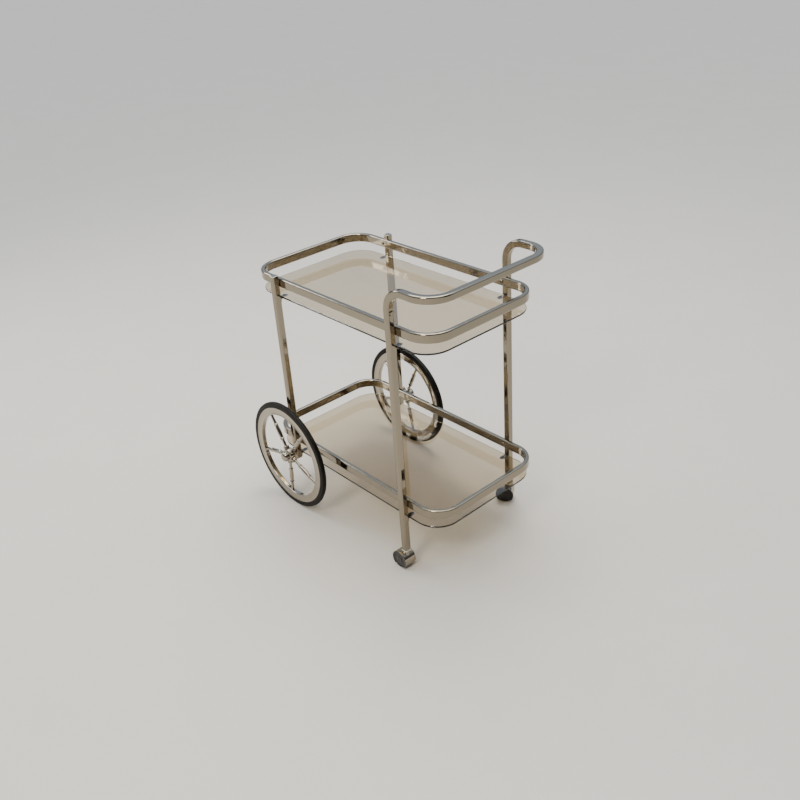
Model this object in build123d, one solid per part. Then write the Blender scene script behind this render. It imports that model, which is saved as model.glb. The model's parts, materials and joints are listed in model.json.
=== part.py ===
from build123d import *
import math
import os

# Bar cart, millimetres. +X points to the push handle, +Y to the pusher's right, +Z up.
# The origin is on the floor under the middle of the whole cart.

# Overall layout
CART_HALF_LENGTH = 395.0
RAIL_LENGTH = 720.0
RAIL_WIDTH = 394.0
RAIL_CORNER = 74.0
UPPER_RAIL_TOP = 718.0
LOWER_RAIL_TOP = 216.5
HANDLE_TOP = 825.0

# Tubes: thin steel, flat rectangle for the rails and square for the legs and the handle
RAIL_THICK = 12.7
RAIL_TALL = 25.4
LEG_SIZE = 19.05
TUBE_WALL = 1.2
TUBE_EDGE = 4.0

# Glass shelves, hung below the rails on brackets
GLASS_THICK = 5.0
GLASS_DROP = 53.0
GLASS_END_INSET = 10.0
GLASS_SIDE_INSET = 2.0
GLASS_CORNER = 70.0
PAD_THICK = 1.5
PAD_RADIUS = 5.5
PAD_STUD_RADIUS = 1.7
PAD_STUD_LENGTH = 3.0

# Brackets that carry the glass
BRACKET_WIDTH = 14.0
BRACKET_REACH = 26.0
BRACKET_DROP = 9.5
BRACKET_SHEET = 1.5
PAD_FROM_LEG = 16.0

# Big spoked wheels
WHEEL_RADIUS = 168.0
WHEEL_PLANE = 236.0
TYRE_HALF_WIDTH = 6.5
RIM_OUTER = 152.0
RIM_INNER = 129.0
RIM_SEAT = 148.0
RIM_HALF_WIDTH = 6.8
SPOKE_COUNT = 5
LEFT_SPOKE_ANGLE = 50.0
RIGHT_SPOKE_ANGLE = 64.0
HUB_RADIUS = 20.0
HUB_HALF_WIDTH = 10.0
HUB_NOSE = 13.6
SOCKET_RADIUS = 8.5
SOCKET_END = 28.0
AXLE_RADIUS = 4.75
AXLE_THREAD_RADIUS = 4.0
BUSH_RADIUS = 7.0
RUNNING_GAP = 0.05
END_PLAY = 0.3

# Hooded twin-wheel casters
CASTER_RADIUS = 25.0
CASTER_HALF_WIDTH = 18.0
CASTER_TRAIL = 11.5
CASTER_STEM_RADIUS = 4.0
STEM_BOTTOM = 50.2
STEM_TOP = 98.0
CASTER_AXLE_RADIUS = 2.5
HOOD_SHEET = 0.8
HOOD_GAP = 0.4
HOOD_WEB = 4.0
HOOD_SKIRT_HEIGHT = 6.0
BOSS_RADIUS = 9.0
BOSS_TOP = 54.0
SOCKET_FLANGE_BOTTOM = 55.6
REAR_LEG_BOTTOM = 58.6
LEFT_CASTER_TURN = 0.0
RIGHT_CASTER_TURN = 35.0

# Front legs
FRONT_LEG_TOP = 724.0
FRONT_LEG_BOTTOM = 148.0
CAP_THICK = 3.5
PLUG_THICK = 2.0

# Handle: centre-line radii of its bends
RISE_BEND = 54.0
PLAN_BEND = 65.0
HANDLE_RUN = 26.5

# Fasteners
RAIL_SCREW_RADIUS = 3.0
RAIL_SCREW_HEAD = 5.5
RAIL_SCREW_HEAD_HEIGHT = 3.2
HEX_KEY = 4.0
NUT_ACROSS_FLATS = 10.0
NUT_THICK = 5.0
BRACKET_SCREW_RADIUS = 1.9
BRACKET_SCREW_HEAD = 3.1
HOLE_ROOM = 0.1
VENT_HOLE_RADIUS = 2.0
VENT_HOLE_HEIGHT = 751.0
VENT_HOLE_OFFSET = 3.4

# Places worked out from the above
FRONT_LEG_X = WHEEL_RADIUS - CART_HALF_LENGTH
HANDLE_END_X = CART_HALF_LENGTH - LEG_SIZE / 2
REAR_LEG_X = HANDLE_END_X - PLAN_BEND - HANDLE_RUN - RISE_BEND
RAIL_CENTRE_X = 5.0
RAIL_SIDE = RAIL_WIDTH / 2
LEG_Y = RAIL_SIDE + LEG_SIZE / 2
LEG_OUTER_FACE = RAIL_SIDE + LEG_SIZE
LEG_BORE = LEG_SIZE - 2 * TUBE_WALL
HANDLE_Z = HANDLE_TOP - LEG_SIZE / 2
LEG_XS = {"front": FRONT_LEG_X, "rear": REAR_LEG_X}
SIDES = {"left": -1, "right": 1}
RAIL_TOPS = {"upper": UPPER_RAIL_TOP, "lower": LOWER_RAIL_TOP}

# Cylinders that stand on, or hang from, the point where they are placed
STAND = (Align.CENTER, Align.CENTER, Align.MIN)
HANG = (Align.CENTER, Align.CENTER, Align.MAX)


def square_ring(size, bore, edge):
    """Section of a square tube with rounded corners."""
    inner_edge = max(edge - TUBE_WALL, 0.4)
    return RectangleRounded(size, size, edge) - RectangleRounded(bore, bore, inner_edge)


def along_y(shape, x, y, z, side):
    """Turn a shape built along +Z so that it points outwards (side +1 or -1) and place it."""
    return Pos(x, y, z) * Rot(-90 * side, 0, 0) * shape


def rounded_plan(length, width, corner, bottom, height):
    """Flat slab with a rounded rectangle plan, centred on the rails."""
    return Pos(RAIL_CENTRE_X, 0, bottom) * extrude(RectangleRounded(length, width, corner), height)


def level_edges(shape):
    """The edges of a shape that run level, all round its top and bottom."""
    return [e for e in shape.edges() if abs(e.tangent_at(0.5).Z) < 0.01]


def leg_points():
    """Every leg as (end name, side name, x, side sign)."""
    return [(end, name, x, sign) for end, x in LEG_XS.items() for name, sign in SIDES.items()]


# ---------------------------------------------------------------- rails and shelves

def rail(top):
    """Closed loop of rectangular tube with a screw hole at each leg."""
    bottom = top - RAIL_TALL
    loop = rounded_plan(RAIL_LENGTH, RAIL_WIDTH, RAIL_CORNER, bottom, RAIL_TALL)
    inner_length = RAIL_LENGTH - 2 * RAIL_THICK
    inner_width = RAIL_WIDTH - 2 * RAIL_THICK
    loop -= rounded_plan(inner_length, inner_width, RAIL_CORNER - RAIL_THICK, bottom, RAIL_TALL)
    loop = fillet(level_edges(loop), TUBE_EDGE)
    hollow_bottom = bottom + TUBE_WALL
    hollow_tall = RAIL_TALL - 2 * TUBE_WALL
    wall2 = 2 * TUBE_WALL
    hollow = rounded_plan(RAIL_LENGTH - wall2, RAIL_WIDTH - wall2, RAIL_CORNER - TUBE_WALL,
                          hollow_bottom, hollow_tall)
    hollow -= rounded_plan(inner_length + wall2, inner_width + wall2,
                           RAIL_CORNER - RAIL_THICK + TUBE_WALL, hollow_bottom, hollow_tall)
    loop -= fillet(level_edges(hollow), TUBE_EDGE - TUBE_WALL)
    for _, _, x, sign in leg_points():
        loop -= rail_screw_hole(x, sign, top)
    return loop


def rail_screw_hole(x, sign, top):
    """Clearance hole along Y through the rail and the leg's inner wall."""
    hole = Cylinder(RAIL_SCREW_RADIUS + HOLE_ROOM, 40, align=STAND)
    return along_y(hole, x, sign * (RAIL_SIDE - 25), top - RAIL_TALL / 2, sign)


def glass_shelf(top):
    """Glass plate with rounded corners and softened edges."""
    length = RAIL_LENGTH - 2 * GLASS_END_INSET
    width = RAIL_WIDTH - 2 * GLASS_SIDE_INSET
    slab = rounded_plan(length, width, GLASS_CORNER, top - GLASS_DROP - GLASS_THICK, GLASS_THICK)
    return chamfer(level_edges(slab), 0.8)


def shelf_pad(x, sign, top):
    """Soft bumper that sits in the bracket and carries the glass."""
    z = top - GLASS_DROP - GLASS_THICK - PAD_THICK
    y = sign * (RAIL_SIDE - PAD_FROM_LEG)
    disc = Pos(x, y, z + PAD_THICK / 2) * Cylinder(PAD_RADIUS, PAD_THICK)
    stud = Pos(x, y, z - PAD_STUD_LENGTH / 2) * Cylinder(PAD_STUD_RADIUS, PAD_STUD_LENGTH)
    return disc + stud


def shelf_bracket(x, sign, top):
    """L-shaped sheet bracket: a tab under the glass and a short flange screwed to the leg."""
    z = top - GLASS_DROP - GLASS_THICK - PAD_THICK
    y = sign * RAIL_SIDE
    half = BRACKET_WIDTH / 2
    straight = BRACKET_REACH - half
    tab_middle = Pos(x, y - sign * straight / 2, z - BRACKET_SHEET / 2)
    tab = tab_middle * Box(BRACKET_WIDTH, straight, BRACKET_SHEET)
    tab += Pos(x, y - sign * straight, z - BRACKET_SHEET / 2) * Cylinder(half, BRACKET_SHEET)
    flange = Pos(x, y - sign * BRACKET_SHEET / 2, z - BRACKET_DROP / 2)
    bracket = tab + flange * Box(BRACKET_WIDTH, BRACKET_SHEET, BRACKET_DROP)
    bend = [e for e in bracket.edges()
            if abs(e.tangent_at(0.5).X) > 0.99 and abs(e.center().Y - (y - sign * BRACKET_SHEET)) < 0.01
            and abs(e.center().Z - (z - BRACKET_SHEET)) < 0.01]
    bracket = fillet(bend, 1.2)
    bracket -= Pos(x, y - sign * PAD_FROM_LEG, z) * Cylinder(PAD_STUD_RADIUS, 3 * BRACKET_SHEET)
    bracket -= along_y(Cylinder(BRACKET_SCREW_RADIUS + HOLE_ROOM, 3 * BRACKET_SHEET), x, y,
                       bracket_screw_z(top), sign)
    return bracket


def bracket_screw_z(top):
    """Height of the screw that holds a bracket to its leg."""
    return top - GLASS_DROP - GLASS_THICK - PAD_THICK - 5.5


def bracket_screw(x, sign, top):
    """Small dome-headed screw, head on the inside of the cart."""
    head = Pos(0, 0, -1.9) * Cylinder(BRACKET_SCREW_HEAD, 1.9, align=STAND)
    head = fillet(head.edges().sort_by(Axis.Z)[0], 1.3)
    shank = Cylinder(BRACKET_SCREW_RADIUS, 5.0, align=STAND)
    cross = Pos(0, 0, -1.9) * (Box(3.6, 0.7, 1.4) + Box(0.7, 3.6, 1.4))
    y = sign * (RAIL_SIDE - BRACKET_SHEET)
    return along_y(head + shank - cross, x, y, bracket_screw_z(top), sign)


def rail_screw(x, sign, top):
    """Button-head screw with a hexagon socket, put in from inside the rail."""
    head = Cylinder(RAIL_SCREW_HEAD, RAIL_SCREW_HEAD_HEIGHT, align=HANG)
    head = fillet(head.edges().sort_by(Axis.Z)[0], 2.4)
    length = RAIL_THICK + TUBE_WALL + NUT_THICK + 2
    shank = Cylinder(RAIL_SCREW_RADIUS, length, align=STAND)
    hexagon = RegularPolygon(HEX_KEY / 2, 6, major_radius=False)
    key = Pos(0, 0, -RAIL_SCREW_HEAD_HEIGHT) * extrude(hexagon, 1.8)
    return along_y(head + shank - key, x, sign * (RAIL_SIDE - RAIL_THICK), top - RAIL_TALL / 2, sign)


def rail_nut(x, sign, top):
    """Nut held inside the leg for one rail screw."""
    nut = extrude(RegularPolygon(NUT_ACROSS_FLATS / 2, 6, major_radius=False), NUT_THICK)
    nut -= Cylinder(RAIL_SCREW_RADIUS, 3 * NUT_THICK)
    return along_y(nut, x, sign * (RAIL_SIDE + TUBE_WALL), top - RAIL_TALL / 2, sign)


# ---------------------------------------------------------------- legs and handle

def cut_leg_holes(leg, x, sign):
    """Screw holes in the leg's inner wall, two rails and two brackets."""
    for top in RAIL_TOPS.values():
        rail_hole = Cylinder(RAIL_SCREW_RADIUS + HOLE_ROOM, 8)
        bracket_hole = Cylinder(BRACKET_SCREW_RADIUS, 8)
        leg -= along_y(rail_hole, x, sign * RAIL_SIDE, top - RAIL_TALL / 2, sign)
        leg -= along_y(bracket_hole, x, sign * RAIL_SIDE, bracket_screw_z(top), sign)
    return leg


def front_leg(sign):
    """Straight square tube that carries a big wheel's axle."""
    ring = square_ring(LEG_SIZE, LEG_BORE, TUBE_EDGE)
    leg = Pos(FRONT_LEG_X, sign * LEG_Y, FRONT_LEG_BOTTOM) * extrude(ring, FRONT_LEG_TOP - FRONT_LEG_BOTTOM)
    leg = cut_leg_holes(leg, FRONT_LEG_X, sign)
    hole = Cylinder(AXLE_THREAD_RADIUS, 8)
    return leg - along_y(hole, FRONT_LEG_X, sign * LEG_OUTER_FACE, WHEEL_RADIUS, sign)


def front_leg_cap(sign):
    """Push-in end cap on top of a front leg, slightly crowned."""
    cap = extrude(RectangleRounded(LEG_SIZE, LEG_SIZE, TUBE_EDGE), CAP_THICK)
    cap = fillet(cap.faces().sort_by(Axis.Z)[-1].edges(), 1.8)
    plug = extrude(RectangleRounded(LEG_BORE, LEG_BORE, TUBE_EDGE - TUBE_WALL), -9)
    plug -= Pos(0, 0, -9) * Box(LEG_BORE - 4, LEG_BORE - 4, 14)
    return Pos(FRONT_LEG_X, sign * LEG_Y, FRONT_LEG_TOP) * (cap + plug)


def front_leg_plug(sign):
    """Flat plug that closes the bottom of a front leg."""
    plate = extrude(RectangleRounded(LEG_SIZE, LEG_SIZE, TUBE_EDGE), -PLUG_THICK)
    plate = fillet(plate.faces().sort_by(Axis.Z)[0].edges(), 1.0)
    boss = extrude(RectangleRounded(9, 9, 1), 5)
    return Pos(FRONT_LEG_X, sign * LEG_Y, FRONT_LEG_BOTTOM) * (plate + boss)


def handle_path():
    """Centre line: up one leg, over, round the corners of the push bar and down the other leg."""
    rise_top = HANDLE_Z - RISE_BEND
    run_start = REAR_LEG_X + RISE_BEND
    run_end = run_start + HANDLE_RUN
    bar_y = LEG_Y - PLAN_BEND
    mid = math.sqrt(0.5)

    def half(sign):
        y = sign * LEG_Y
        foot = (REAR_LEG_X, y, REAR_LEG_BOTTOM)
        rise = (REAR_LEG_X, y, rise_top)
        over_mid = (run_start - RISE_BEND * mid, y, rise_top + RISE_BEND * mid)
        over = (run_start, y, HANDLE_Z)
        corner = (run_end, y, HANDLE_Z)
        corner_mid = (run_end + PLAN_BEND * mid, sign * (bar_y + PLAN_BEND * mid), HANDLE_Z)
        bar = (HANDLE_END_X, sign * bar_y, HANDLE_Z)
        return foot, rise, over_mid, over, corner, corner_mid, bar

    left = half(-1)
    right = half(1)
    edges = [Line(left[0], left[1]), ThreePointArc(left[1], left[2], left[3]), Line(left[3], left[4]),
             ThreePointArc(left[4], left[5], left[6]), Line(left[6], right[6]),
             ThreePointArc(right[6], right[5], right[4]), Line(right[4], right[3]),
             ThreePointArc(right[3], right[2], right[1]), Line(right[1], right[0])]
    return Wire(edges)


def handle_frame():
    """Both rear legs and the push handle, bent from one square tube."""
    start = Plane(origin=(REAR_LEG_X, -LEG_Y, REAR_LEG_BOTTOM), x_dir=(1, 0, 0), z_dir=(0, 0, 1))
    path = handle_path()
    outer = sweep(start * RectangleRounded(LEG_SIZE, LEG_SIZE, TUBE_EDGE), path=path)
    inner = sweep(start * RectangleRounded(LEG_BORE, LEG_BORE, TUBE_EDGE - TUBE_WALL), path=path)
    frame = outer - inner
    for sign in SIDES.values():
        frame = cut_leg_holes(frame, REAR_LEG_X, sign)
    vent = Rot(0, 90, 0) * Cylinder(VENT_HOLE_RADIUS, 8)
    return frame - Pos(REAR_LEG_X + LEG_SIZE / 2, -LEG_Y - VENT_HOLE_OFFSET, VENT_HOLE_HEIGHT) * vent


# ---------------------------------------------------------------- big wheels
# Wheel pieces are built with their axis along +Z, outer side up, then turned outwards.

def place_wheel(shape, sign):
    """Put a wheel piece built about the origin at its axle."""
    return along_y(shape, FRONT_LEG_X, sign * WHEEL_PLANE, WHEEL_RADIUS, sign)


def tyre():
    """Solid rubber tyre, crowned tread, its foot seated in the rim's channel."""
    seat_half = RIM_HALF_WIDTH - 1.5
    shoulder = WHEEL_RADIUS - 2.5
    with BuildSketch(Plane.XZ) as section:
        with BuildLine():
            Polyline((RIM_SEAT, -seat_half), (RIM_OUTER, -seat_half), (RIM_OUTER, -TYRE_HALF_WIDTH),
                     (shoulder, -TYRE_HALF_WIDTH))
            ThreePointArc((shoulder, -TYRE_HALF_WIDTH), (WHEEL_RADIUS, 0), (shoulder, TYRE_HALF_WIDTH))
            Polyline((shoulder, TYRE_HALF_WIDTH), (RIM_OUTER, TYRE_HALF_WIDTH), (RIM_OUTER, seat_half),
                     (RIM_SEAT, seat_half), (RIM_SEAT, -seat_half))
        make_face()
    return revolve(section.sketch, Axis.Z)


def rim():
    """Wide flat-faced rim with a channel for the tyre and a hole for each spoke end."""
    seat_half = RIM_HALF_WIDTH - 1.5
    with BuildSketch(Plane.XZ) as section:
        with BuildLine():
            Polyline((RIM_INNER, -RIM_HALF_WIDTH), (RIM_OUTER, -RIM_HALF_WIDTH), (RIM_OUTER, -seat_half),
                     (RIM_SEAT, -seat_half), (RIM_SEAT, seat_half), (RIM_OUTER, seat_half),
                     (RIM_OUTER, RIM_HALF_WIDTH), (RIM_INNER, RIM_HALF_WIDTH), (RIM_INNER, -RIM_HALF_WIDTH))
        make_face()
        soft = [v for v in section.vertices() if abs(v.X - RIM_INNER) < 0.01]
        fillet(soft, 2.4)
    return revolve(section.sketch, Axis.Z)


def spoke_section():
    """Half outline of one turned spoke along +X: neck, bead, belly, bead, thin end."""
    neck = 4.9
    bead = 7.0
    belly = 6.3
    tip = 4.3
    first_bead = 52.0
    second_bead = 97.0
    bead_half = 2.6
    start = HUB_RADIUS - 1
    end = RIM_INNER + 4
    with BuildSketch(Plane.XZ) as section:
        with BuildLine():
            Polyline((start, 0), (start, neck - 0.6), (first_bead - bead_half, neck - 0.6))
            ThreePointArc((first_bead - bead_half, neck - 0.6), (first_bead, bead),
                          (first_bead + bead_half, neck))
            ThreePointArc((first_bead + bead_half, neck), ((first_bead + second_bead) / 2, belly),
                          (second_bead - bead_half, neck))
            ThreePointArc((second_bead - bead_half, neck), (second_bead, bead - 0.4),
                          (second_bead + bead_half, tip))
            Polyline((second_bead + bead_half, tip), (end, tip - 0.6), (end, 0), (start, 0))
        make_face()
    return section.sketch


def spokes(first_angle):
    """All spokes of one wheel as separate turned solids."""
    one = revolve(spoke_section(), Axis.X)
    step = 360 / SPOKE_COUNT
    return [Rot(0, 0, first_angle + k * step) * one for k in range(SPOKE_COUNT)]


def hub(spoke_solids, first_angle):
    """Turned hub with a socket for each spoke, a bore for the bushes and a nose for the cap."""
    body = Cylinder(HUB_RADIUS, 2 * HUB_HALF_WIDTH)
    body = fillet(body.edges(), 3.0)
    inner_face = LEG_OUTER_FACE + 7.0 + END_PLAY - WHEEL_PLANE
    nose = Cylinder(HUB_NOSE, 14.0 - inner_face, align=STAND)
    body += Pos(0, 0, inner_face) * nose
    step = 360 / SPOKE_COUNT
    for k in range(SPOKE_COUNT):
        socket = Rot(0, 90, 0) * Cylinder(SOCKET_RADIUS, SOCKET_END, align=STAND)
        socket = fillet(socket.edges().sort_by(Axis.X)[-1], 1.6)
        body += Rot(0, 0, first_angle + k * step) * socket
    body -= Cylinder(BUSH_RADIUS, 80)
    for solid in spoke_solids:
        body -= solid
    return body


def rim_with_holes(spoke_solids):
    """The rim, drilled for the spoke ends."""
    ring = rim()
    for solid in spoke_solids:
        ring -= solid
    return ring


def hub_bushes():
    """Two plastic bushes pressed into the hub bore."""
    inner_face = LEG_OUTER_FACE + 7.0 + END_PLAY - WHEEL_PLANE
    length = 9.0
    tube = Cylinder(BUSH_RADIUS, length) - Cylinder(AXLE_RADIUS + RUNNING_GAP, 2 * length)
    return [Pos(0, 0, inner_face + length / 2) * tube, Pos(0, 0, 14.0 - length / 2) * tube]


def hub_cap():
    """Domed cap pressed over the hub's nose; it hides the axle's head."""
    skin = 1.2
    radius = HUB_NOSE + skin
    base = HUB_HALF_WIDTH
    height = 26.0 - base
    dome = Pos(0, 0, base) * Cylinder(radius, height, align=STAND)
    dome = fillet(dome.edges().sort_by(Axis.Z)[-1], 8.0)
    hollow = Pos(0, 0, base) * Cylinder(HUB_NOSE, height - skin, align=STAND)
    hollow = fillet(hollow.edges().sort_by(Axis.Z)[-1], 6.8)
    return dome - hollow


def axle():
    """Shoulder bolt: head under the hub cap, shoulder through hub and spacer, thread in the leg."""
    shoulder_end = LEG_OUTER_FACE - WHEEL_PLANE
    head_seat = 14.0 + END_PLAY
    shoulder = Pos(0, 0, shoulder_end) * Cylinder(AXLE_RADIUS, head_seat - shoulder_end, align=STAND)
    thread = Pos(0, 0, shoulder_end) * Cylinder(AXLE_THREAD_RADIUS, TUBE_WALL + 8.0, align=HANG)
    head = Pos(0, 0, head_seat) * Cylinder(8.0, 4.5, align=STAND)
    head = fillet(head.edges().sort_by(Axis.Z)[-1], 1.2)
    key = Pos(0, 0, head_seat + 4.5) * extrude(RegularPolygon(3.0, 6, major_radius=False), -2.5)
    return thread + shoulder + head - key


def axle_spacer():
    """Tube that holds the wheel off the leg."""
    base = LEG_OUTER_FACE - WHEEL_PLANE
    tube = Cylinder(8.0, 7.0) - Cylinder(AXLE_RADIUS, 20)
    return Pos(0, 0, base + 3.5) * tube


def axle_nut():
    """Nut held inside the leg that the axle screws into."""
    hexagon = RegularPolygon(5.5, 6, major_radius=False, rotation=30)
    nut = extrude(hexagon, 8.0) - Cylinder(AXLE_THREAD_RADIUS, 40)
    return Pos(0, 0, LEG_OUTER_FACE - TUBE_WALL - 8.0 - WHEEL_PLANE) * nut


# ---------------------------------------------------------------- casters
# Caster pieces are built with the swivel axis on Z and the wheels trailing towards -X.

def place_caster(shape, sign, turn):
    """Put a caster piece under its leg, swivelled by turn degrees."""
    return Pos(REAR_LEG_X, sign * LEG_Y, 0) * Rot(0, 0, turn) * shape


def caster_drum(radius, half_width, inner=0.0):
    """Cylinder about the caster axle."""
    drum = Cylinder(radius, 2 * half_width)
    if inner:
        drum -= Cylinder(inner, 4 * half_width)
    return Pos(-CASTER_TRAIL, 0, CASTER_RADIUS) * Rot(90, 0, 0) * drum


def caster_hood():
    """Sheet hood over both wheels, with a middle web for the axle and a boss for the stem."""
    inner = CASTER_RADIUS + HOOD_GAP
    outer = inner + HOOD_SHEET
    hood = caster_drum(outer, CASTER_HALF_WIDTH, inner)
    hood += caster_drum(inner + HOOD_SHEET / 2, HOOD_WEB / 2)
    boss = Cylinder(BOSS_RADIUS, 20, align=HANG)
    boss = fillet(boss.edges().sort_by(Axis.Z)[-1], 1.2)
    boss = Pos(0, 0, BOSS_TOP) * boss
    boss -= caster_drum(inner + HOOD_SHEET / 2, 2 * CASTER_HALF_WIDTH)
    hood += boss
    floor_cut = Pos(-CASTER_TRAIL, 0, HOOD_SKIRT_HEIGHT - 50) * Box(120, 60, 100)
    hood -= floor_cut
    hood -= caster_drum(CASTER_AXLE_RADIUS, 2 * CASTER_HALF_WIDTH)
    hood -= Pos(0, 0, STEM_BOTTOM) * Cylinder(CASTER_STEM_RADIUS, 60, align=STAND)
    return hood


def caster_stem():
    """Pin with a collar; its foot is riveted in the hood's boss."""
    pin = Pos(0, 0, STEM_BOTTOM) * Cylinder(CASTER_STEM_RADIUS, STEM_TOP - STEM_BOTTOM,
                                            align=STAND)
    pin = chamfer(pin.edges().sort_by(Axis.Z)[-1], 1.2)
    collar = Pos(0, 0, BOSS_TOP + 0.6) * Cylinder(6.8, 1.2)
    return pin + collar


def caster_socket():
    """Insert pressed into the leg; the stem turns in its blind bore."""
    depth = STEM_TOP + 6.0 - REAR_LEG_BOTTOM
    block = extrude(RectangleRounded(LEG_BORE, LEG_BORE, TUBE_EDGE - TUBE_WALL), depth)
    flange = extrude(RectangleRounded(LEG_SIZE + 1.4, LEG_SIZE + 1.4, TUBE_EDGE + 0.7),
                     -(REAR_LEG_BOTTOM - SOCKET_FLANGE_BOTTOM))
    flange = fillet(flange.edges().filter_by(Axis.Z, reverse=True), 0.8)
    bore = Cylinder(CASTER_STEM_RADIUS + RUNNING_GAP, STEM_TOP + 1.5 - SOCKET_FLANGE_BOTTOM,
                    align=STAND)
    return Pos(0, 0, REAR_LEG_BOTTOM) * (block + flange) - Pos(0, 0, SOCKET_FLANGE_BOTTOM) * bore


def caster_axle():
    """Pin through the hood's web; a wheel turns on each end."""
    pin = chamfer(Cylinder(CASTER_AXLE_RADIUS, 28.0).edges(), 0.4)
    return Pos(-CASTER_TRAIL, 0, CASTER_RADIUS) * Rot(90, 0, 0) * pin


def caster_wheel(side):
    """One of the two wheels, with a blind bore and a shallow dished outer face."""
    near = HOOD_WEB / 2 + END_PLAY
    far = CASTER_HALF_WIDTH - 0.6
    wheel = Pos(0, 0, near) * Cylinder(CASTER_RADIUS, far - near, align=STAND)
    wheel = fillet(wheel.edges().sort_by(Axis.Z)[-1], 1.4)
    wheel = chamfer(wheel.edges().sort_by(Axis.Z)[0], 1.0)
    dish = Cylinder(CASTER_RADIUS - 4, 1.6) - Cylinder(7.5, 1.6)
    wheel -= Pos(0, 0, far) * dish
    bore_end = 14.6
    wheel -= Cylinder(CASTER_AXLE_RADIUS + RUNNING_GAP, bore_end, align=STAND)
    return Pos(-CASTER_TRAIL, 0, CASTER_RADIUS) * Rot(-90 * side, 0, 0) * wheel


# ---------------------------------------------------------------- the whole cart

def build_parts():
    """Every piece of the cart by name."""
    parts = {"handle_frame": handle_frame()}
    for level, top in RAIL_TOPS.items():
        parts[f"{level}_rail"] = rail(top)
        parts[f"{level}_glass_shelf"] = glass_shelf(top)
        parts[f"{level}_shelf_pads"] = Compound([shelf_pad(x, s, top) for _, _, x, s in leg_points()])
        for end, name, x, sign in leg_points():
            parts[f"{level}_{end}_{name}_bracket"] = shelf_bracket(x, sign, top)
    spots = [(x, s, top) for top in RAIL_TOPS.values() for _, _, x, s in leg_points()]
    parts["bracket_screws"] = Compound([bracket_screw(*spot) for spot in spots])
    parts["rail_screws"] = Compound([rail_screw(*spot) for spot in spots])
    parts["rail_nuts"] = Compound([rail_nut(*spot) for spot in spots])
    for name, sign in SIDES.items():
        parts[f"front_{name}_leg"] = front_leg(sign)
        parts[f"front_{name}_leg_cap"] = front_leg_cap(sign)
        parts[f"front_{name}_leg_plug"] = front_leg_plug(sign)
        angle = LEFT_SPOKE_ANGLE if sign < 0 else RIGHT_SPOKE_ANGLE
        local_angle = -sign * angle
        rods = spokes(local_angle)
        wheel = {"tyre": tyre(), "rim": rim_with_holes(rods), "spokes": Compound(rods),
                 "hub": hub(rods, local_angle), "hub_cap": hub_cap(), "hub_bushes": Compound(hub_bushes()),
                 "axle": axle(), "axle_spacer": axle_spacer(), "axle_nut": axle_nut()}
        for piece, shape in wheel.items():
            parts[f"{name}_{piece}"] = place_wheel(shape, sign)
        turn = LEFT_CASTER_TURN if sign < 0 else RIGHT_CASTER_TURN
        caster = {"hood": caster_hood(), "stem": caster_stem(), "axle": caster_axle(),
                  "outer_wheel": caster_wheel(sign), "inner_wheel": caster_wheel(-sign)}
        for piece, shape in caster.items():
            parts[f"{name}_caster_{piece}"] = place_caster(shape, sign, turn)
        parts[f"{name}_caster_socket"] = place_caster(caster_socket(), sign, 0)
    return parts


def main():
    os.makedirs("parts", exist_ok=True)
    for name, shape in build_parts().items():
        export_step(shape, f"parts/{name}.step")
        box = shape.bounding_box()
        print(f"{name:32s} solids {len(shape.solids()):2d}  z {box.min.Z:7.1f} to {box.max.Z:7.1f}")


main()
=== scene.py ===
# %% [markdown]
# # A chrome bar cart in Blender
# The cart is bent chrome tube: two closed rails, two glass shelves hung under them on
# small brackets, a push handle that is one tube with the rear legs, two big spoked
# wheels at the front and two hooded casters at the back. The frame below brings in the
# exact engineering model; this file gives it finishes and finer shapes, a floor, lights
# and a camera. Everything is in metres, X along the cart towards the handle, Z up.

# %% Load the frame
import json
import math

import bpy
from mathutils import Matrix, Vector


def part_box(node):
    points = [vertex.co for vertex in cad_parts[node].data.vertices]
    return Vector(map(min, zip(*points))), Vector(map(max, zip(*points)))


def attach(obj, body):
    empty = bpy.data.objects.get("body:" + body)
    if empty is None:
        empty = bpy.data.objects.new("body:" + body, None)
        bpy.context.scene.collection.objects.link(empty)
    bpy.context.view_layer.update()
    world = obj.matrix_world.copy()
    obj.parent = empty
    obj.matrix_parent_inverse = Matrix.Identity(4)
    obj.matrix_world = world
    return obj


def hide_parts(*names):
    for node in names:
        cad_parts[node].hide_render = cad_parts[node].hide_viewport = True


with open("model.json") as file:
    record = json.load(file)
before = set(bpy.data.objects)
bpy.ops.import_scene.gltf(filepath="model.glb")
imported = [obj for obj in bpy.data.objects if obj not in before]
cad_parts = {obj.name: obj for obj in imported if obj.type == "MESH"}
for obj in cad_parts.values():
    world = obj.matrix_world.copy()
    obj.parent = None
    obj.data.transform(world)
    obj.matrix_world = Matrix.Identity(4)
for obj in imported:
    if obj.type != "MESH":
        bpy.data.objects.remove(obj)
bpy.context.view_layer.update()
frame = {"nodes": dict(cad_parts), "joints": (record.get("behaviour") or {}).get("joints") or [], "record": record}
nodes = frame["nodes"]

# %% [markdown]
# ## Finishes
# Chrome is never one flat value. Plate on tube is slightly wavy from polishing, so
# straight reflections ripple; hands leave smudges that raise the roughness in patches;
# and old plate has tiny dull pits. A painter could lay these on by hand, but a noise
# pattern in object space covers every tube at the same real scale without any seams.
# Each effect is a small node group that gives out only a colour, a value or a height,
# and each material places the group with its own numbers.

# %% Helpers for node work
def add(tree, kind, **settings):
    """Add a node and set its plain properties or its inputs by name."""
    node = tree.nodes.new(kind)
    for key, value in settings.items():
        if key.startswith("in_"):
            node.inputs[key[3:].replace("_", " ")].default_value = value
        else:
            setattr(node, key, value)
    return node


def join(tree, source, out, target, into):
    """Link one named output to one named or numbered input."""
    tree.links.new(source.outputs[out], target.inputs[into])


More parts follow.
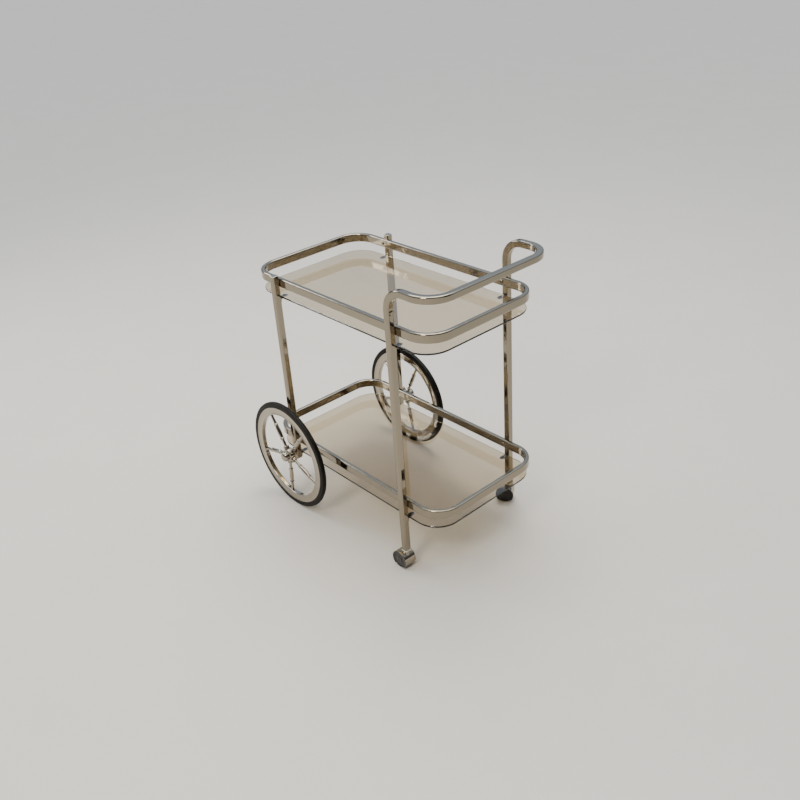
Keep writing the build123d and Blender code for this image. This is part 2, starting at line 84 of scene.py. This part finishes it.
def new_group(name, inputs, outputs):
    """Start a shader node group with float or colour sockets."""
    tree = bpy.data.node_groups.new(name, "ShaderNodeTree")
    for label, kind, default in inputs:
        socket = tree.interface.new_socket(label, in_out="INPUT", socket_type=kind)
        socket.default_value = default
    for label, kind in outputs:
        tree.interface.new_socket(label, in_out="OUTPUT", socket_type=kind)
    return tree, add(tree, "NodeGroupInput"), add(tree, "NodeGroupOutput")


def place_group(tree, group, **values):
    """Put a node group in a material and set its inputs."""
    node = add(tree, "ShaderNodeGroup")
    node.node_tree = group
    for key, value in values.items():
        node.inputs[key.replace("_", " ")].default_value = value
    return node


def new_material(name, **constants):
    """A Principled material with its plain numbers set on the shader itself."""
    material = bpy.data.materials.new(name)
    material.use_nodes = True
    tree = material.node_tree
    shader = tree.nodes["Principled BSDF"]
    for key, value in constants.items():
        shader.inputs[key.replace("_", " ")].default_value = value
    return material, tree, shader


# A Mix node's sockets by number: its two colours and the mixed one, or its two values.
COLOUR_A, COLOUR_B, COLOUR_OUT = 6, 7, 2
VALUE_A, VALUE_B = 2, 3
FLOAT = "NodeSocketFloat"
COLOUR = "NodeSocketColor"
VECTOR = "NodeSocketVector"
print("helpers ready")

# %% [markdown]
# ### Patches of a surface
# Smudges, dust and water marks are all the same thing seen at different sizes: soft
# islands of one value in another. The group mixes a broad noise with a fine one, cuts
# it between two levels and gives out a mask from 0 to 1.

# %% Group: soft islands
patches, g_in, g_out = new_group(
    "soft_patches",
    [("Vector", VECTOR, (0, 0, 0)), ("Scale", FLOAT, 12.0),
     ("Low", FLOAT, 0.45), ("High", FLOAT, 0.65)],
    [("Mask", FLOAT)])
broad = add(patches, "ShaderNodeTexNoise", in_Detail=4.0, in_Roughness=0.6, in_Distortion=0.4)
fine_scale = add(patches, "ShaderNodeMath", operation="MULTIPLY")
fine_scale.inputs[1].default_value = 7.0
fine = add(patches, "ShaderNodeTexNoise", in_Detail=3.0, in_Roughness=0.7)
both = add(patches, "ShaderNodeMix", data_type="FLOAT")
both.inputs[0].default_value = 0.3
cut = add(patches, "ShaderNodeMapRange", interpolation_type="SMOOTHSTEP")
join(patches, g_in, "Vector", broad, "Vector")
join(patches, g_in, "Vector", fine, "Vector")
join(patches, g_in, "Scale", broad, "Scale")
join(patches, g_in, "Scale", fine_scale, 0)
join(patches, fine_scale, 0, fine, "Scale")
join(patches, broad, 0, both, VALUE_A)
join(patches, fine, 0, both, VALUE_B)
join(patches, both, 0, cut, "Value")
join(patches, g_in, "Low", cut, "From Min")
join(patches, g_in, "High", cut, "From Max")
join(patches, cut, "Result", g_out, "Mask")
print("group", patches.name)

# %% [markdown]
# ### Dust on what faces up
# Dust falls, so it lies on faces whose normal points up and leaves the others clean.
# The group reads the normal in object space, keeps its upward part and breaks it up
# with the soft islands.

# %% Group: settled dust
dust, g_in, g_out = new_group(
    "settled_dust",
    [("Vector", VECTOR, (0, 0, 0)), ("Normal", VECTOR, (0, 0, 1)), ("Amount", FLOAT, 0.2)],
    [("Mask", FLOAT)])
parts_of_normal = add(dust, "ShaderNodeSeparateXYZ")
upward = add(dust, "ShaderNodeMapRange", in_From_Min=0.5, in_From_Max=1.0)
islands = place_group(dust, patches, Scale=9.0, Low=0.3, High=0.75)
layer = add(dust, "ShaderNodeMath", operation="MULTIPLY")
amount = add(dust, "ShaderNodeMath", operation="MULTIPLY")
join(dust, g_in, "Normal", parts_of_normal, 0)
join(dust, parts_of_normal, "Z", upward, "Value")
join(dust, g_in, "Vector", islands, "Vector")
join(dust, upward, "Result", layer, 0)
join(dust, islands, "Mask", layer, 1)
join(dust, layer, 0, amount, 0)
join(dust, g_in, "Amount", amount, 1)
join(dust, amount, 0, g_out, "Mask")
print("group", dust.name)

# %% [markdown]
# ### Plated metal
# The plate group gives the roughness, a slight tint and the height of the waves. Long
# shallow waves come from polishing the tube before plating; a very fine noise stands
# for hairline scratches; smudges come from the islands.

# %% Group: plated metal
plate, g_in, g_out = new_group(
    "plated_metal",
    [("Vector", VECTOR, (0, 0, 0)), ("Smudge", FLOAT, 0.12), ("Base Roughness", FLOAT, 0.05),
     ("Bright", COLOUR, (0.6, 0.58, 0.55, 1)), ("Dull", COLOUR, (0.45, 0.42, 0.38, 1))],
    [("Color", COLOUR), ("Roughness", FLOAT), ("Height", FLOAT)])
smudge = place_group(plate, patches, Scale=14.0, Low=0.42, High=0.72)
pits = place_group(plate, patches, Scale=160.0, Low=0.6, High=0.7)
wave = add(plate, "ShaderNodeTexNoise", in_Scale=38.0, in_Detail=1.0)
hair = add(plate, "ShaderNodeTexNoise", in_Scale=2600.0, in_Detail=2.0)
smudge_rough = add(plate, "ShaderNodeMath", operation="MULTIPLY_ADD")
pit_rough = add(plate, "ShaderNodeMath", operation="MULTIPLY_ADD")
pit_rough.inputs[1].default_value = 0.12
tint = add(plate, "ShaderNodeMix", data_type="RGBA")
height = add(plate, "ShaderNodeMath", operation="MULTIPLY_ADD")
height.inputs[1].default_value = 0.02
for node in (smudge, pits, wave, hair):
    join(plate, g_in, "Vector", node, "Vector")
join(plate, smudge, "Mask", smudge_rough, 0)
join(plate, g_in, "Smudge", smudge_rough, 1)
join(plate, g_in, "Base Roughness", smudge_rough, 2)
join(plate, pits, "Mask", pit_rough, 0)
join(plate, smudge_rough, 0, pit_rough, 2)
join(plate, pits, "Mask", tint, 0)
join(plate, g_in, "Bright", tint, COLOUR_A)
join(plate, g_in, "Dull", tint, COLOUR_B)
join(plate, hair, 0, height, 0)
join(plate, wave, 0, height, 2)
join(plate, tint, COLOUR_OUT, g_out, "Color")
join(plate, pit_rough, 0, g_out, "Roughness")
join(plate, height, 0, g_out, "Height")
print("group", plate.name)


# %% [markdown]
# ### The chrome itself
# One recipe makes the chrome for the tubes, the finer chrome for the wheels and the
# zinc for hidden fasteners. Only the numbers change. The plate's waves reach the
# shader through a Bump node, and dust lightens and roughens what faces up.

# %% Chrome and zinc
def metal(name, bright, dull, rough, smudge_amount, wave_height, dusty):
    """A plated metal finish."""
    material, tree, shader = new_material(name, Metallic=1.0)
    place = add(tree, "ShaderNodeTexCoord")
    look = place_group(tree, plate, Smudge=smudge_amount, Base_Roughness=rough,
                       Bright=bright, Dull=dull)
    film = place_group(tree, dust, Amount=dusty)
    bump = add(tree, "ShaderNodeBump", in_Strength=1.0, in_Distance=wave_height)
    colour = add(tree, "ShaderNodeMix", data_type="RGBA")
    colour.inputs[COLOUR_B].default_value = (0.34, 0.31, 0.26, 1)
    rougher = add(tree, "ShaderNodeMath", operation="MULTIPLY_ADD")
    rougher.inputs[1].default_value = 0.4
    join(tree, place, "Object", look, "Vector")
    join(tree, place, "Object", film, "Vector")
    join(tree, place, "Normal", film, "Normal")
    join(tree, look, "Height", bump, "Height")
    join(tree, look, "Color", colour, COLOUR_A)
    join(tree, film, "Mask", colour, 0)
    join(tree, film, "Mask", rougher, 0)
    join(tree, look, "Roughness", rougher, 2)
    join(tree, colour, COLOUR_OUT, shader, "Base Color")
    join(tree, rougher, 0, shader, "Roughness")
    join(tree, bump, "Normal", shader, "Normal")
    return material


chrome_tube = metal(
    "chrome_tube", bright=(0.275, 0.238, 0.182, 1), dull=(0.16, 0.135, 0.1, 1),
    rough=0.045, smudge_amount=0.1, wave_height=0.00035, dusty=0.15)
chrome_cast = metal(
    "chrome_cast", bright=(0.36, 0.32, 0.26, 1), dull=(0.2, 0.175, 0.135, 1),
    rough=0.06, smudge_amount=0.12, wave_height=0.0002, dusty=0.1)
zinc_plate = metal(
    "zinc_plate", bright=(0.5, 0.5, 0.49, 1), dull=(0.33, 0.32, 0.3, 1),
    rough=0.28, smudge_amount=0.2, wave_height=0.0002, dusty=0.2)
print("metals", chrome_tube.name, chrome_cast.name, zinc_plate.name)

# %% [markdown]
# ### Shelf glass
# Bronze float glass tans what is seen through its face and is green at its edge,
# because light there has come a long way inside the sheet. A volume would do this too,
# but it is slow and a baked model loses it. The edge is known by its normal, which
# lies flat, so the tint is switched on the normal's upward part. Finger marks and
# dried drops vary the roughness. A low specular level keeps the sky's reflection from
# washing out the tint.

# %% Bronze glass
shelf_glass, tree, shader = new_material(
    "shelf_glass", Transmission_Weight=1.0, IOR=1.5, Metallic=0.0, Specular_IOR_Level=0.2)
place = add(tree, "ShaderNodeTexCoord")
flat_part = add(tree, "ShaderNodeSeparateXYZ")
facing = add(tree, "ShaderNodeMath", operation="ABSOLUTE")
edge = add(tree, "ShaderNodeMapRange", in_From_Min=0.3, in_From_Max=0.9)
face_tint = add(tree, "ShaderNodeMix", data_type="RGBA")
face_tint.inputs[COLOUR_A].default_value = (0.68, 0.585, 0.43, 1)
face_tint.inputs[COLOUR_B].default_value = (0.62, 0.53, 0.385, 1)
glass_colour = add(tree, "ShaderNodeMix", data_type="RGBA")
glass_colour.inputs[COLOUR_A].default_value = (0.3, 0.46, 0.33, 1)
marks = place_group(tree, patches, Scale=7.0, Low=0.45, High=0.8)
drops = place_group(tree, patches, Scale=60.0, Low=0.58, High=0.66)
haze = add(tree, "ShaderNodeMath", operation="MULTIPLY")
haze.inputs[1].default_value = 0.07
haze_sum = add(tree, "ShaderNodeMath", operation="MULTIPLY_ADD")
haze_sum.inputs[1].default_value = 0.1
join(tree, place, "Normal", flat_part, 0)
join(tree, flat_part, "Z", facing, 0)
join(tree, facing, 0, edge, "Value")
join(tree, place, "Object", marks, "Vector")
join(tree, place, "Object", drops, "Vector")
join(tree, marks, "Mask", face_tint, 0)
join(tree, edge, "Result", glass_colour, 0)
join(tree, face_tint, COLOUR_OUT, glass_colour, COLOUR_B)
join(tree, glass_colour, COLOUR_OUT, shader, "Base Color")
join(tree, marks, "Mask", haze, 0)
join(tree, drops, "Mask", haze_sum, 0)
join(tree, haze, 0, haze_sum, 2)
join(tree, haze_sum, 0, shader, "Roughness")
print("glass", shelf_glass.name)


# %% [markdown]
# ### Rubber and plastics
# Rubber and moulded plastic share a recipe: a base colour that is a little uneven, a
# fine grain from the mould, and dust where it faces up. Rubber is rougher, and the
# caster wheels are glossier.

# %% Rubber, plastics and vinyl
def moulded(name, dark, pale, rough, grain_size, grain_height, dusty, **constants):
    """A moulded finish with grain, unevenness and dust."""
    material, tree, shader = new_material(name, **constants)
    place = add(tree, "ShaderNodeTexCoord")
    uneven = place_group(tree, patches, Scale=22.0, Low=0.35, High=0.7)
    film = place_group(tree, dust, Amount=dusty)
    grain = add(tree, "ShaderNodeTexNoise", in_Scale=grain_size, in_Detail=3.0)
    bump = add(tree, "ShaderNodeBump", in_Strength=1.0, in_Distance=grain_height)
    base = add(tree, "ShaderNodeMix", data_type="RGBA")
    base.inputs[COLOUR_A].default_value = dark
    base.inputs[COLOUR_B].default_value = pale
    dusted = add(tree, "ShaderNodeMix", data_type="RGBA")
    dusted.inputs[COLOUR_B].default_value = (0.3, 0.27, 0.22, 1)
    rougher = add(tree, "ShaderNodeMath", operation="MULTIPLY_ADD")
    rougher.inputs[1].default_value = 0.16
    rougher.inputs[2].default_value = rough
    join(tree, place, "Object", uneven, "Vector")
    join(tree, place, "Object", film, "Vector")
    join(tree, place, "Object", grain, "Vector")
    join(tree, place, "Normal", film, "Normal")
    join(tree, uneven, "Mask", base, 0)
    join(tree, film, "Mask", dusted, 0)
    join(tree, base, COLOUR_OUT, dusted, COLOUR_A)
    join(tree, uneven, "Mask", rougher, 0)
    join(tree, grain, 0, bump, "Height")
    join(tree, dusted, COLOUR_OUT, shader, "Base Color")
    join(tree, rougher, 0, shader, "Roughness")
    join(tree, bump, "Normal", shader, "Normal")
    return material


tyre_rubber = moulded(
    "tyre_rubber", dark=(0.004, 0.003, 0.002, 1), pale=(0.011, 0.009, 0.006, 1),
    rough=0.4, grain_size=900, grain_height=0.0001, dusty=0.1, Specular_IOR_Level=0.12)
caster_plastic = moulded(
    "caster_plastic", dark=(0.01, 0.009, 0.009, 1), pale=(0.02, 0.018, 0.017, 1),
    rough=0.22, grain_size=700, grain_height=0.00004, dusty=0.2)
plug_plastic = moulded(
    "plug_plastic", dark=(0.03, 0.03, 0.03, 1), pale=(0.05, 0.05, 0.05, 1),
    rough=0.45, grain_size=700, grain_height=0.0001, dusty=0.1)
nylon = moulded(
    "nylon", dark=(0.62, 0.6, 0.55, 1), pale=(0.7, 0.68, 0.63, 1),
    rough=0.4, grain_size=600, grain_height=0.00008, dusty=0.1)
clear_vinyl = moulded(
    "clear_vinyl", dark=(0.75, 0.74, 0.7, 1), pale=(0.82, 0.81, 0.78, 1),
    rough=0.15, grain_size=500, grain_height=0.00003, dusty=0.05,
    Transmission_Weight=0.85, IOR=1.48)
print("moulded finishes ready")

# %% [markdown]
# ### Which node wears which finish
# Every node of the frame already knows its material slot, so the finishes are handed
# out by slot. The cast and pressed pieces, such as wheels, hoods and caps, get a
# brighter chrome than the tubes.

# %% Hand out the finishes
FINISH = {"chrome_plate": chrome_tube, "zinc_steel": zinc_plate, "shelf_glass": shelf_glass,
          "tyre_rubber": tyre_rubber, "caster_plastic": caster_plastic,
          "plug_plastic": plug_plastic, "nylon": nylon, "clear_vinyl": clear_vinyl}
CAST_PIECES = ("rim", "spokes", "hub", "hub_cap", "caster_hood", "leg_cap")
for row in frame["record"]["subparts"]:
    finish = FINISH[row["material_slot"]]
    if finish is chrome_tube and row["node"].endswith(CAST_PIECES):
        finish = chrome_cast
    for slot in nodes[row["node"]].material_slots:
        slot.material = finish
print("finishes handed out")

# %% [markdown]
# ## Turned pieces
# Tyres, rims, spokes, hubs, caps and caster wheels are all turned on a lathe or moulded
# in a round mould. They could be spun from a drawn outline, or cut from cylinders. Here
# a circle is pulled along its axis one station at a time and resized at each, the way a
# profile is turned, because every bead and groove is then one line in a short list.
# A list that comes back to its start makes a ring; any other list is closed by its end
# faces.

# %% Helper: turn a profile
MM = 0.001
# Points round a circle, by how large or thin the piece is.
FINE_ROUND, ROUND, SMALL_ROUND, THIN_ROUND = 160, 96, 64, 32
# Angles in degrees past which two faces meet in a crease.
CREASE, SOFT_CREASE = 32, 50


def only(*objects):
    """Select these objects alone, the first one active."""
    bpy.ops.object.select_all(action="DESELECT")
    for item in objects:
        item.select_set(True)
    bpy.context.view_layer.objects.active = objects[0]


def turned(name, stations, segments=ROUND, ring=False, smooth=CREASE):
    """Pull and resize a circle through (height, radius) stations given in millimetres."""
    bpy.ops.object.select_all(action="DESELECT")
    height, radius = stations[0]
    bpy.ops.mesh.primitive_circle_add(
        vertices=segments, radius=radius * MM, location=(0, 0, height * MM),
        fill_type="NOTHING" if ring else "NGON")
    piece = bpy.context.object
    piece.name = name
    bpy.ops.object.transform_apply(location=True, rotation=True, scale=True)
    bpy.ops.object.mode_set(mode="EDIT")
    bpy.ops.mesh.select_all(action="SELECT")
    for next_height, next_radius in stations[1:] + (stations[:1] if ring else []):
        step = (0, 0, (next_height - height) * MM)
        ratio = next_radius / radius
        if ring:
            bpy.ops.mesh.extrude_edges_move(TRANSFORM_OT_translate={"value": step})
        else:
            bpy.ops.mesh.extrude_region_move(TRANSFORM_OT_translate={"value": step})
        bpy.ops.transform.resize(value=(ratio, ratio, 1), center_override=(0, 0, 0))
        height, radius = next_height, next_radius
    bpy.ops.mesh.select_all(action="SELECT")
    bpy.ops.mesh.remove_doubles(threshold=0.001 * MM)
    bpy.ops.mesh.normals_make_consistent(inside=False)
    bpy.ops.object.mode_set(mode="OBJECT")
    bpy.ops.object.shade_smooth_by_angle(angle=math.radians(smooth))
    return piece


def settle(piece, place, turn_angles):
    """Turn and move a piece, then put its place into its mesh."""
    only(piece)
    piece.rotation_euler = turn_angles
    piece.location = place
    bpy.ops.object.transform_apply(location=True, rotation=True, scale=True)
    return piece


def fit_out(piece, body, node, finish):
    """Give a piece its finish, its body and the node that it stands for."""
    piece.data.materials.clear()
    piece.data.materials.append(finish)
    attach(piece, body)
    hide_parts(node)
    print(piece.name, len(piece.data.vertices), "points")


def twin(piece, name):
    """A copy of a piece with its own mesh."""
    copy = piece.copy()
    copy.data = piece.data.copy()
    copy.name = name
    bpy.context.scene.collection.objects.link(copy)
    return copy


print("lathe ready")

# %% [markdown]
# ### Where the wheels are
# The centre of each big wheel is the middle of its tyre, and the centre of each caster
# is the middle of its pin, so the frame's own boxes give every place and no number is
# copied. A turned piece has its axis upright, so it is tipped over to point outwards.

# %% Places of the axles
SIDES = {"left": -1, "right": 1}
QUARTER_TURN = math.radians(90)


def middle(node):
    """The middle of a node's box."""
    low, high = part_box(node)
    return (low + high) / 2


def outwards(side):
    """The turn that tips an upright axis over to point away from the cart."""
    return (-QUARTER_TURN * side, 0, 0)


axles = {name: middle(f"{name}_tyre") for name in SIDES}
print("axles", axles)

# %% [markdown]
# ### Tyres
# A solid rubber tyre is moulded in two halves: a fine line runs round the middle of the
# tread, and a shallow groove rings each sidewall. The foot is narrower and sits down in
# the rim's channel. The list goes once round the section.

# %% Tyre
half_tyre = [(5.1, 148.2), (5.1, 152.1), (6.1, 152.3), (6.5, 153.2), (6.5, 156.6), (6.2, 157.0),
             (6.2, 157.6), (6.5, 158.0), (6.5, 163.6), (6.3, 164.9), (5.7, 166.1), (4.6, 166.9),
             (3.0, 167.5), (1.4, 167.8), (0.35, 167.85), (0.15, 168.0)]
tyre_section = half_tyre + [(-height, radius) for height, radius in reversed(half_tyre)]
tyre_shape = turned("tyre", tyre_section, segments=FINE_ROUND, ring=True)
for name, side in SIDES.items():
    tyre_piece = settle(twin(tyre_shape, f"{name}_tyre_rubber"), axles[name], outwards(side))
    fit_out(tyre_piece, f"{name}_wheel", f"{name}_tyre", tyre_rubber)
bpy.data.objects.remove(tyre_shape)

# %% [markdown]
# ### Rims
# The rim is a broad flat ring with a raised bead at each edge of its face and a softly
# rounded inner wall. The beads matter: each one catches a thin bright line.

# %% Rim
half_rim = [(5.3, 148.1), (5.3, 151.6), (5.6, 152.0), (6.5, 152.0), (6.8, 151.6), (6.8, 149.9),
            (6.4, 149.4), (6.1, 148.6), (5.9, 140.0), (6.0, 133.6), (6.3, 132.9), (6.8, 132.4),
            (6.8, 131.2), (6.5, 130.2), (5.8, 129.4), (4.6, 129.0), (2.0, 129.2)]
rim_section = half_rim + [(-height, radius) for height, radius in reversed(half_rim)]
rim_shape = turned("rim", rim_section, segments=FINE_ROUND, ring=True)
for name, side in SIDES.items():
    rim_piece = settle(twin(rim_shape, f"{name}_rim_chrome"), axles[name], outwards(side))
    fit_out(rim_piece, f"{name}_wheel", f"{name}_rim", chrome_cast)
bpy.data.objects.remove(rim_shape)

# %% [markdown]
# ### Spokes
# Each spoke is a little spindle: a neck, a bead, a swelling belly, a second bead and a
# thin end that enters the rim. One is turned, then copied five times round the axle.
# The two wheels have stopped at different angles.

# %% Spokes
# The angle in degrees at which each wheel's first spoke stands.
FIRST_SPOKE = {"left": 50.0, "right": 64.0}
SPOKES = 5


def spoke_turn(name, count):
    """The turn that points an upright piece along one spoke of a wheel."""
    angle = FIRST_SPOKE[name] + count * 360 / SPOKES
    return (0, math.radians(90 - angle), 0)


spindle = [(22.0, 4.3), (47.0, 4.3), (48.6, 4.6), (49.6, 5.7), (50.6, 6.6), (52.0, 7.0),
           (53.4, 6.6), (54.4, 5.7), (55.4, 5.0), (58.0, 5.3), (63.0, 5.9), (69.0, 6.25),
           (75.0, 6.35),
           (81.0, 6.2), (87.0, 5.8), (92.0, 5.2), (94.0, 5.0), (94.9, 5.6), (95.8, 6.4),
           (97.0, 6.7), (98.2, 6.3), (99.2, 5.3), (100.2, 4.5), (104.0, 4.3), (131.0, 3.9)]
spoke_shape = turned("spoke", spindle, segments=THIN_ROUND, smooth=SOFT_CREASE)
for name, side in SIDES.items():
    spokes = []
    for count in range(SPOKES):
        copy = twin(spoke_shape, f"{name}_spoke_{count}")
        spokes.append(settle(copy, axles[name], spoke_turn(name, count)))
    only(*spokes)
    bpy.ops.object.join()
    wheel_spokes = bpy.context.object
    wheel_spokes.name = f"{name}_spokes_turned"
    fit_out(wheel_spokes, f"{name}_wheel", f"{name}_spokes", chrome_cast)
bpy.data.objects.remove(spoke_shape)

# %% [markdown]
# ### Hubs
# The hub is a turned drum with a knuckle for each spoke. The knuckles are turned too,
# pushed into the drum and united with it by a Boolean modifier, so the join is one
# clean skin. The faces are shaded smooth up to an angle, so the grooves stay crisp.

# %% Hub
drum = [(-12.7, 7.0), (-12.7, 13.0), (-12.1, 13.6), (-10.6, 13.6), (-10.0, 15.0), (-9.6, 18.2),
        (-8.6, 19.6), (-7.2, 20.0), (7.2, 20.0), (8.6, 19.6), (9.6, 18.2), (10.0, 16.0),
        (10.0, 13.6), (13.6, 13.6), (14.0, 13.2), (14.0, 7.0)]
knuckle = [(9.0, 7.2), (18.5, 7.2), (20.0, 7.5), (21.2, 8.5), (26.2, 8.5), (27.4, 8.0),
           (28.0, 6.8), (28.0, 5.2), (27.2, 4.8)]
drum_shape = turned("hub_drum", drum, ring=True)
knuckle_shape = turned("hub_knuckle", knuckle, segments=THIN_ROUND)
for name, side in SIDES.items():
    hub_piece = settle(twin(drum_shape, f"{name}_hub_chrome"), axles[name], outwards(side))
    for count in range(SPOKES):
        knuckle_piece = twin(knuckle_shape, "knuckle")
        settle(knuckle_piece, axles[name], spoke_turn(name, count))
        only(hub_piece)
        union = hub_piece.modifiers.new("union", "BOOLEAN")
        union.operation = "UNION"
        union.object = knuckle_piece
        bpy.ops.object.modifier_apply(modifier="union")
        bpy.data.objects.remove(knuckle_piece)
    only(hub_piece)
    bpy.ops.object.shade_smooth_by_angle(angle=math.radians(CREASE))
    fit_out(hub_piece, f"{name}_wheel", f"{name}_hub", chrome_cast)
bpy.data.objects.remove(drum_shape)
bpy.data.objects.remove(knuckle_shape)

# %% [markdown]
# ### Hub caps
# A thin pressed cap hides the bolt's head. Its profile starts inside, under the crown,
# comes down to the rolled rim and climbs over the dome, so the cap has a real wall.

# %% Hub cap
cap_wall = [(24.7, 0.6), (24.6, 4.0), (24.0, 7.5), (22.4, 10.8), (19.8, 13.0), (17.0, 13.65),
            (10.2, 13.65), (10.0, 13.9), (10.0, 14.5), (10.3, 14.8), (11.6, 14.8),
            (12.0, 14.5), (12.4, 14.8), (17.0, 14.8), (19.4, 14.4), (21.6, 13.3),
            (23.4, 11.6), (24.8, 9.2), (25.6, 6.2), (25.95, 3.0), (26.0, 0.6)]
cap_shape = turned("hub_cap", cap_wall, segments=SMALL_ROUND, smooth=SOFT_CREASE)
for name, side in SIDES.items():
    cap_piece = settle(twin(cap_shape, f"{name}_hub_cap_chrome"), axles[name], outwards(side))
    fit_out(cap_piece, f"{name}_wheel", f"{name}_hub_cap", chrome_cast)
bpy.data.objects.remove(cap_shape)

# %% [markdown]
# ### Caster wheels
# Two black discs share a pin under each chrome hood. A disc has a slightly crowned
# tread, a dished face with a rim round it, a low boss in the middle, and a blind bore.
# The pin's own box gives the middle, and the joint's axis gives the direction, because
# one caster stands turned.

# %% Caster wheels
disc = [(14.6, 2.55), (2.3, 2.55), (2.3, 7.0), (2.8, 7.4), (2.8, 22.6), (2.3, 23.0),
        (2.4, 24.0), (3.3, 24.7), (6.0, 24.95), (9.5, 25.0), (13.0, 24.95), (15.4, 24.7),
        (16.7, 24.1), (17.3, 23.2), (17.4, 22.3), (17.3, 21.5), (16.7, 21.0), (16.5, 20.4),
        (16.5, 9.6), (16.7, 8.9), (17.2, 8.4), (17.4, 7.6), (17.4, 3.2), (17.2, 2.7),
        (17.2, 0.6)]
disc_shape = turned("caster_disc", disc)
joint_axes = {joint["name"]: joint["axis"] for joint in frame["joints"]}
for name, side in SIDES.items():
    centre = middle(f"{name}_caster_axle")
    pin_axis = joint_axes[f"{name}_caster_outer_disc_spin"]
    swivel = -math.atan(pin_axis[0] / pin_axis[1])
    for which, facing_out in (("outer", side), ("inner", -side)):
        node = f"{name}_caster_{which}_wheel"
        copy = twin(disc_shape, f"{node}_moulded")
        settle(copy, (0, 0, 0), outwards(facing_out))
        disc_piece = settle(copy, centre, (0, 0, swivel))
        fit_out(disc_piece, f"{name}_caster_{which}_disc", node, caster_plastic)
    print(name, "caster turned", round(math.degrees(swivel), 2))
bpy.data.objects.remove(disc_shape)

# %% [markdown]
# ## Floor, light and camera
# Polished metal shows its surroundings more than itself. A pale warm floor fills the
# upright faces, a broad soft light overhead whitens the faces that look up, and a sky
# that is darker near the horizon leaves the thin dark line that makes chrome read as
# chrome. A studio would stand a black card beside the camera for the same reason, so
# the sky has a dark side there too, below the height of the lamps.

# %% Floor
bpy.ops.object.select_all(action="DESELECT")
bpy.ops.mesh.primitive_plane_add(size=60)
floor = bpy.context.object
floor.name = "floor"
floor_finish, tree, shader = new_material("floor_finish", Roughness=0.85)
place = add(tree, "ShaderNodeTexCoord")
mottle = place_group(tree, patches, Scale=3.0, Low=0.3, High=0.8)
floor_colour = add(tree, "ShaderNodeMix", data_type="RGBA")
floor_colour.inputs[COLOUR_A].default_value = (0.64, 0.58, 0.49, 1)
floor_colour.inputs[COLOUR_B].default_value = (0.615, 0.555, 0.465, 1)
join(tree, place, "Object", mottle, "Vector")
join(tree, mottle, "Mask", floor_colour, 0)
join(tree, floor_colour, COLOUR_OUT, shader, "Base Color")
floor.data.materials.append(floor_finish)
print("floor ready")

# %% Sky
world = bpy.data.worlds.new("sky")
world.use_nodes = True
bpy.context.scene.world = world
tree = world.node_tree
background = tree.nodes["Background"]
DARK = (0.05, 0.045, 0.04, 1)
CAMERA_SIDE = (0.76, -0.65, 0)
place = add(tree, "ShaderNodeTexCoord")
up_part = add(tree, "ShaderNodeSeparateXYZ")
ramp = add(tree, "ShaderNodeValToRGB")
ramp.color_ramp.elements[0].color = DARK
ramp.color_ramp.elements[1].color = (1.65, 1.8, 2.0, 1)
for position, colour in ((0.1, (0.06, 0.055, 0.05, 1)), (0.3, (0.36, 0.43, 0.53, 1)),
                         (0.65, (0.42, 0.5, 0.62, 1))):
    ramp.color_ramp.elements.new(position).color = colour
towards_camera = add(tree, "ShaderNodeVectorMath", operation="DOT_PRODUCT")
towards_camera.inputs[1].default_value = CAMERA_SIDE
card_side = add(tree, "ShaderNodeMapRange", in_From_Min=0.05, in_From_Max=0.3)
card_top = add(tree, "ShaderNodeMapRange", in_From_Min=0.85, in_From_Max=0.75)
card = add(tree, "ShaderNodeMath", operation="MULTIPLY")
carded = add(tree, "ShaderNodeMix", data_type="RGBA")
carded.inputs[COLOUR_B].default_value = DARK
join(tree, place, "Generated", up_part, 0)
join(tree, place, "Generated", towards_camera, 0)
join(tree, up_part, "Z", ramp, "Fac")
join(tree, up_part, "Z", card_top, "Value")
join(tree, towards_camera, "Value", card_side, "Value")
join(tree, card_side, "Result", card, 0)
join(tree, card_top, "Result", card, 1)
join(tree, card, 0, carded, 0)
join(tree, ramp, "Color", carded, COLOUR_A)
join(tree, carded, COLOUR_OUT, background, "Color")
background.inputs["Strength"].default_value = 1.7
print("sky ready")


# %% Lights
def soft_light(name, place, target, size, power, colour):
    """A square area light at a place, aimed at a target."""
    bpy.ops.object.light_add(type="AREA", location=place)
    lamp = bpy.context.object
    lamp.name = name
    lamp.data.shape = "SQUARE"
    lamp.data.size = size
    lamp.data.energy = power
    lamp.data.color = colour
    aim = Vector(target) - Vector(place)
    lamp.rotation_euler = aim.to_track_quat("-Z", "Y").to_euler()
    return lamp


soft_light("overhead", (-0.6, 0.8, 3.2), (0, 0, 0.3), 1.6, 60, (1, 0.98, 0.95))
soft_light("key", (1.0, -2.6, 2.9), (0, 0, 0.4), 0.9, 60, (1, 0.95, 0.88))
soft_light("rim_light", (-2.4, -1.2, 1.9), (0, 0, 0.4), 0.9, 25, (0.95, 0.97, 1))
print("lights ready")

# %% Camera
CAMERA_PLACE = Vector((1.7168, -1.4456, 1.6211))
CAMERA_AHEAD = Vector((-0.67592, 0.57591, -0.45985))
CAMERA_UP = Vector((-0.30164, 0.35312, 0.88562))
right = CAMERA_AHEAD.cross(CAMERA_UP).normalized()
above = right.cross(CAMERA_AHEAD)
turn = Matrix((right, above, -CAMERA_AHEAD)).transposed()
camera_data = bpy.data.cameras.new("camera")
camera = bpy.data.objects.new("camera", camera_data)
bpy.context.scene.collection.objects.link(camera)
camera.matrix_world = Matrix.Translation(CAMERA_PLACE) @ turn.to_4x4()
camera_data.sensor_width = 36.0
camera_data.lens = 40.73
camera_data.shift_x = 0.0023
camera_data.shift_y = -0.0475
bpy.context.scene.camera = camera
print("camera ready")
